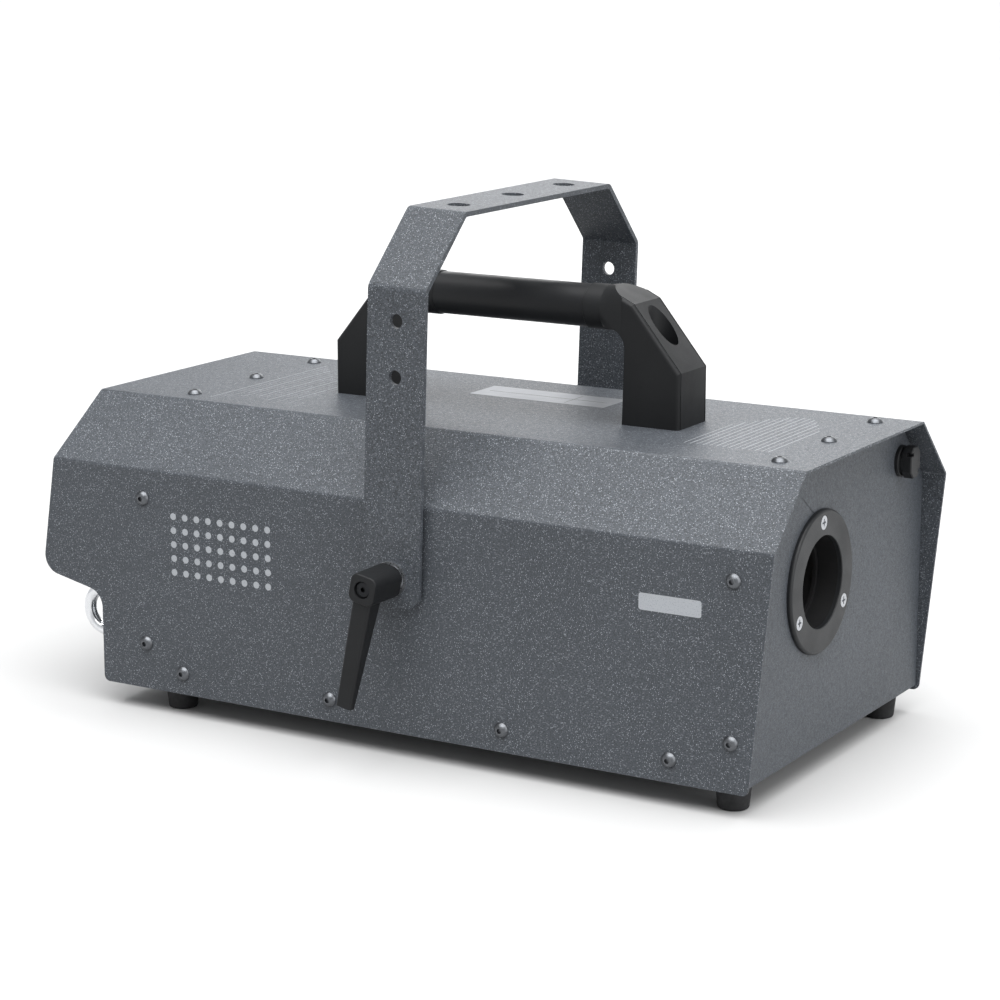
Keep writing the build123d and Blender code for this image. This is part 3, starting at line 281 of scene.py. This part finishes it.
bright_zinc = metal("bright_zinc_plate", (0.5, 0.515, 0.54), 0.3)
polished_zinc = metal("polished_zinc_plate", (0.78, 0.79, 0.81), 0.16)
spring_steel = metal("spring_steel", (0.42, 0.42, 0.43), 0.3)
sheet_zinc = metal("zinc_coated_sheet", (0.5, 0.51, 0.53), 0.45, (60.0, 60.0, 60.0), 0.25)
heater_cast = metal("cast_alloy", (0.55, 0.55, 0.55), 0.55)
turned_brass = metal("turned_brass", (0.66, 0.47, 0.2), 0.28)
foot_rubber = rubber("foot_rubber", (0.011, 0.011, 0.012))
hose_rubber = rubber("hose_rubber", (0.03, 0.03, 0.032), 0.5)
tank_plastic = moulded("tank_polyethylene", (0.68, 0.69, 0.66), 0.42, 0.6)
rocker_red = moulded("rocker_red_plastic", (0.38, 0.012, 0.01), 0.28, 0.3, 0.4, 0.5)
coil_cover = moulded("coil_cover", (0.03, 0.03, 0.035), 0.5)
print_ink = ink("pale_print", (0.3, 0.315, 0.335))
fibre_wrap = fibre("fibre_wrap", (0.72, 0.69, 0.62))
green_board = board("green_board", (0.03, 0.16, 0.075))
window_glass = smoked("smoked_window", (0.012, 0.014, 0.018))

LOOKS = {
    "case_paint": case_paint,
    "yoke_paint": yoke_paint,
    "handle_black": tube_black,
    "moulded_black": black_plastic,
    "socket_black": socket_plastic,
    "rocker_red": rocker_red,
    "button_grey": button_soft,
    "window_smoke": window_glass,
    "flange_black": flange_coat,
    "sleeve_black": sleeve_painted_shade,
    "dark_screw": dark_nickel,
    "black_screw": black_oxide,
    "zinc_screw": bright_zinc,
    "bright_steel": polished_zinc,
    "spring_steel": spring_steel,
    "plain_steel": sheet_zinc,
    "foot_rubber": foot_rubber,
    "tank_plastic": tank_plastic,
    "heater_alloy": heater_cast,
    "insulation_fibre": fibre_wrap,
    "brass": turned_brass,
    "coil_plastic": coil_cover,
    "board_green": green_board,
    "hose_rubber": hose_rubber,
}
for part in frame["record"]["subparts"]:
    node = NODES[part["node"]]
    node.data.materials.clear()
    node.data.materials.append(LOOKS[part["material_slot"]])


def soften(name, width, segments=2, angle=35.0):
    """Rounds the hard edges of a CAD node with a narrow bevel, without touching its own mesh."""
    node = NODES[name]
    weld = node.modifiers.new("weld", "WELD")
    weld.merge_threshold = 1e-6
    bevel = node.modifiers.new("bevel", "BEVEL")
    bevel.width = width
    bevel.segments = segments
    bevel.limit_method = "ANGLE"
    bevel.angle_limit = math.radians(angle)
    bevel.harden_normals = True
    bevel.use_clamp_overlap = True


SHEET_EDGE = 0.35 * MM
for name in ("cover_shell", "front_panel", "rear_panel"):
    soften(name, SHEET_EDGE)


# ---------------------------------------------------------------- pieces made here


def new_piece(name, mesh_data, material, body):
    """Turns a bmesh into a piece that rides on a body."""
    mesh = bpy.data.meshes.new(name)
    bmesh.ops.recalc_face_normals(mesh_data, faces=mesh_data.faces)
    mesh_data.to_mesh(mesh)
    mesh_data.free()
    mesh.materials.append(material)
    piece = bpy.data.objects.new(name, mesh)
    bpy.context.scene.collection.objects.link(piece)
    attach(piece, body)
    return piece


def slab(mesh_data, outline, to_world, low, high):
    """A thin prism over a closed outline of local (x, y) points, from low to high."""
    rings = [
        [mesh_data.verts.new(to_world @ Vector((x, y, h))) for x, y in outline] for h in (low, high)
    ]
    count = len(outline)
    mesh_data.faces.new(list(reversed(rings[0])))
    mesh_data.faces.new(rings[1])
    for i in range(count):
        j = (i + 1) % count
        mesh_data.faces.new((rings[0][i], rings[0][j], rings[1][j], rings[1][i]))


def circle(x, y, radius, sides=20):
    """A closed outline of a circle."""
    turns = [2 * math.pi * i / sides for i in range(sides)]
    return [(x + radius * math.cos(a), y + radius * math.sin(a)) for a in turns]


def rectangle(x, y, wide, tall, corner=0.0, steps=5):
    """A closed outline of a rectangle about its centre, its corners rounded."""
    if not corner:
        a, b = wide / 2, tall / 2
        return [(x - a, y - b), (x + a, y - b), (x + a, y + b), (x - a, y + b)]
    points = []
    for sx, sy, start in ((1, 1, 0.0), (-1, 1, 90.0), (-1, -1, 180.0), (1, -1, 270.0)):
        cx, cy = x + sx * (wide / 2 - corner), y + sy * (tall / 2 - corner)
        for i in range(steps + 1):
            a = math.radians(start + 90.0 * i / steps)
            points.append((cx + corner * math.cos(a), cy + corner * math.sin(a)))
    return points


def surface_frame(origin, across, up):
    """A frame on a surface: local x is across, local y is up, local z points out."""
    x, y = Vector(across).normalized(), Vector(up).normalized()
    z = x.cross(y)
    matrix = Matrix((x, y, z)).transposed().to_4x4()
    matrix.translation = Vector(origin)
    return matrix


INK_LOW, INK_HIGH = 0.01 * MM, 0.06 * MM
LABEL_HIGH = 0.1 * MM
LABEL_INK_HIGH = 0.13 * MM
cover_low, cover_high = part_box("cover_shell")
side_y = cover_low.y
top_z = cover_high.z

# Near side: an even square grid of equal dots, and one plain bar
near_side = surface_frame((0, side_y, 0), (1, 0, 0), (0, 0, 1))
marks = bmesh.new()
dot_rows, dot_columns = 5, 9
dot_pitch = 9.0 * MM
dot_radius = 2.2 * MM
dots_left, dots_top = -0.155, 0.13
for row in range(dot_rows):
    for column in range(dot_columns):
        dot = circle(dots_left + column * dot_pitch, dots_top - row * dot_pitch, dot_radius)
        slab(marks, dot, near_side, INK_LOW, INK_HIGH)
bar_x, bar_z = 0.195, 0.12
bar_wide, bar_tall, bar_corner = 0.04, 0.01, 1.5 * MM
bar = rectangle(bar_x, bar_z, bar_wide, bar_tall, bar_corner)
slab(marks, bar, near_side, INK_LOW, INK_HIGH)
new_piece("side_marks", marks, print_ink, "machine")

# Fine ruled lines on the top at both ends
top = surface_frame((0, 0, top_z), (1, 0, 0), (0, 1, 0))
lines = bmesh.new()


def rule(x, start, end, wide):
    """One ruled line across the top."""
    slab(lines, rectangle(x, (start + end) / 2, wide, end - start), top, INK_LOW, INK_HIGH)


rule_count = 14
rule_pitch = 4.2 * MM
first_rule = 0.1631
front_start, front_end, front_bulge = -0.0475, 0.013, 0.045
front_fine, front_extra = 0.6, 0.25
rear_start, rear_end, rear_wave, rear_slope = -0.0725, 0.0605, 0.026, 0.005
rear_strong, rear_fine = 0.75, 0.35
for i in range(rule_count):
    bulge = front_bulge * math.sin(math.pi * (i + 0.4) / (rule_count + 0.5))
    wide = (front_fine + front_extra * (i % 2)) * MM
    rule(first_rule + i * rule_pitch, front_start, front_end + bulge, wide)
    wave = rear_wave * abs(math.sin(1.7 * i))
    wide = (rear_strong if i % 3 == 0 else rear_fine) * MM
    rule(-first_rule + i * rule_pitch, rear_start + wave, rear_end - i * rear_slope, wide)
top_ink = ink("top_print", (0.2, 0.21, 0.225))
new_piece("top_lines", lines, top_ink, "machine")

# A plain silver label on the top, divided by two thin rules
label_x, label_y = 0.0215, 0.0385
label_wide, label_tall, label_corner = 0.098, 0.032, 1.2 * MM
label_metal = metal("label_foil", (0.28, 0.29, 0.305), 0.5, (40.0, 1800.0, 40.0), 0.08)
label = bmesh.new()
label_outline = rectangle(label_x, label_y, label_wide, label_tall, label_corner)
slab(label, label_outline, top, INK_LOW, LABEL_HIGH)
new_piece("top_label", label, label_metal, "machine")
divider_wide = 0.9 * MM
divider_long, divider_short = 0.086, 0.024
divider_x = 0.0405
label_ink = ink("label_ink", (0.12, 0.125, 0.13))
divider = bmesh.new()
long_rule = rectangle(label_x, label_y, divider_long, divider_wide)
short_rule = rectangle(divider_x, label_y, divider_wide, divider_short)
slab(divider, long_rule, top, LABEL_HIGH, LABEL_INK_HIGH)
slab(divider, short_rule, top, LABEL_HIGH, LABEL_INK_HIGH)
new_piece("top_label_rules", divider, label_ink, "machine")


def coil(name, node, body, axis, anchor, length, radius, wire, turns):
    """A compression spring with closed ends, from the anchor along the axis.

    It takes the place of a CAD spring, which it hides, and rides on a body.
    """
    steps, sides, closed_turn = 36, 12, 0.75
    direction = Vector(axis).normalized()
    side = direction.orthogonal().normalized()
    third = direction.cross(side)
    mesh_data = bmesh.new()
    count = int(steps * turns)
    rings = []
    for i in range(count + 1):
        share = i / count
        turn = 2 * math.pi * turns * share
        rise = (share * turns - closed_turn) / (turns - 2 * closed_turn)
        height = wire + (length - 2 * wire) * min(1.0, max(0.0, rise))
        out = side * math.cos(turn) + third * math.sin(turn)
        centre = Vector(anchor) + direction * height + out * radius
        ring = []
        for k in range(sides):
            around = 2 * math.pi * k / sides
            offset = out * (wire * math.cos(around)) + direction * (wire * math.sin(around))
            ring.append(mesh_data.verts.new(centre + offset))
        rings.append(ring)
    for first, second in zip(rings, rings[1:]):
        for k in range(sides):
            n = (k + 1) % sides
            mesh_data.faces.new((first[k], first[n], second[n], second[k]))
    mesh_data.faces.new(rings[0])
    mesh_data.faces.new(list(reversed(rings[-1])))
    piece = new_piece(name, mesh_data, spring_steel, body)
    for face in piece.data.polygons:
        face.use_smooth = True
    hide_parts(node)
    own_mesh(piece)


for side, sign in (("near", -1), ("far", 1)):
    node = f"lever_spring_{side}"
    low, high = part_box(node)
    centre = (low + high) / 2
    seat = low.y if sign < 0 else high.y
    coil(
        f"lever_coil_{side}",
        node=node,
        body=f"{side}_insert",
        axis=(0, -sign, 0),
        anchor=(centre.x, seat, centre.z),
        length=high.y - low.y,
        radius=3.7 * MM,
        wire=0.5 * MM,
        turns=4.5,
    )
low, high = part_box("pump_spring")
centre = (low + high) / 2
coil(
    "pump_coil_spring",
    node="pump_spring",
    body="machine",
    axis=(-1, 0, 0),
    anchor=(high.x, centre.y, centre.z),
    length=high.x - low.x,
    radius=4.9 * MM,
    wire=0.6 * MM,
    turns=9.5,
)

# ---------------------------------------------------------------- stage, light and camera

FLOOR_RADIUS = 40.0
floor_mesh = bmesh.new()
bmesh.ops.create_circle(floor_mesh, cap_ends=True, segments=96, radius=FLOOR_RADIUS)
floor_data = bpy.data.meshes.new("floor")
floor_mesh.to_mesh(floor_data)
floor_mesh.free()
floor = bpy.data.objects.new("floor", floor_data)
bpy.context.scene.collection.objects.link(floor)
floor_look = Tree("pale_floor")
floor_dark, floor_pale = (0.43, 0.43, 0.43), (0.45, 0.45, 0.45)
floor_look.set("Base Color", floor_look.mix(floor_look.noise(3.0), floor_dark, floor_pale))
floor_look.set("Roughness", 0.8)
floor_look.set("Specular IOR Level", 0.1)
floor_data.materials.append(floor_look.material)

# An even pale sky, a little weaker overhead than at the horizon
HORIZON_STRENGTH, ZENITH_STRENGTH = 0.9, 0.45
world = bpy.data.worlds.new("studio")
bpy.context.scene.world = world
world.use_nodes = True
sky = world.node_tree.nodes
sky["Background"].inputs["Color"].default_value = (0.97, 0.985, 1.0, 1.0)
height = sky.new("ShaderNodeSeparateXYZ")
fade = sky.new("ShaderNodeMapRange")
fade.inputs["From Min"].default_value = 0.0
fade.inputs["From Max"].default_value = 0.7
fade.inputs["To Min"].default_value = HORIZON_STRENGTH
fade.inputs["To Max"].default_value = ZENITH_STRENGTH
world.node_tree.links.new(sky.new("ShaderNodeTexCoord").outputs["Generated"], height.inputs[0])
world.node_tree.links.new(height.outputs["Z"], fade.inputs["Value"])
world.node_tree.links.new(fade.outputs["Result"], sky["Background"].inputs["Strength"])


def softbox(name, place, target, size, power):
    """A rectangular area light at a place, aimed at a target."""
    lamp = bpy.data.lights.new(name, "AREA")
    lamp.shape = "RECTANGLE"
    lamp.size, lamp.size_y = size
    lamp.energy = power
    holder = bpy.data.objects.new(name, lamp)
    bpy.context.scene.collection.objects.link(holder)
    holder.location = place
    aim = Vector(target) - Vector(place)
    holder.rotation_euler = aim.to_track_quat("-Z", "Y").to_euler()


# A broad soft sun from above, a softbox at the nozzle end, and one behind for the top
SUN_AIM = Vector((-0.12, 0.2, -1.0))
SUN_ANGLE = 70.0
overhead = bpy.data.lights.new("overhead", "SUN")
overhead.energy = 6.0
overhead.angle = math.radians(SUN_ANGLE)
overhead_holder = bpy.data.objects.new("overhead", overhead)
bpy.context.scene.collection.objects.link(overhead_holder)
overhead_holder.rotation_euler = SUN_AIM.to_track_quat("-Z", "Y").to_euler()
softbox("front_right", (2.2, -0.3, 0.9), (0.1, 0, 0.12), (1.4, 1.4), 22.0)
softbox("rear_window", (-0.6, 2.6, 1.5), (0, 0, 0.2), (2.6, 1.2), 29.0)

CAMERA_PLACE = Vector((0.9073, -1.5063, 0.5295))
CAMERA_TARGET = Vector((0.0104, -0.0024, 0.1361))
CAMERA_LENS = 102.14
camera_data = bpy.data.cameras.new("camera")
camera = bpy.data.objects.new("camera", camera_data)
bpy.context.scene.collection.objects.link(camera)
camera.location = CAMERA_PLACE
camera_aim = CAMERA_TARGET - CAMERA_PLACE
camera.rotation_euler = camera_aim.to_track_quat("-Z", "Y").to_euler()
camera_data.lens = CAMERA_LENS
camera_data.sensor_width = 36.0
camera_data.clip_start = 0.05
camera_data.clip_end = 200.0
bpy.context.scene.camera = camera
bpy.context.scene.view_settings.view_transform = "Standard"

bpy.context.view_layer.update()
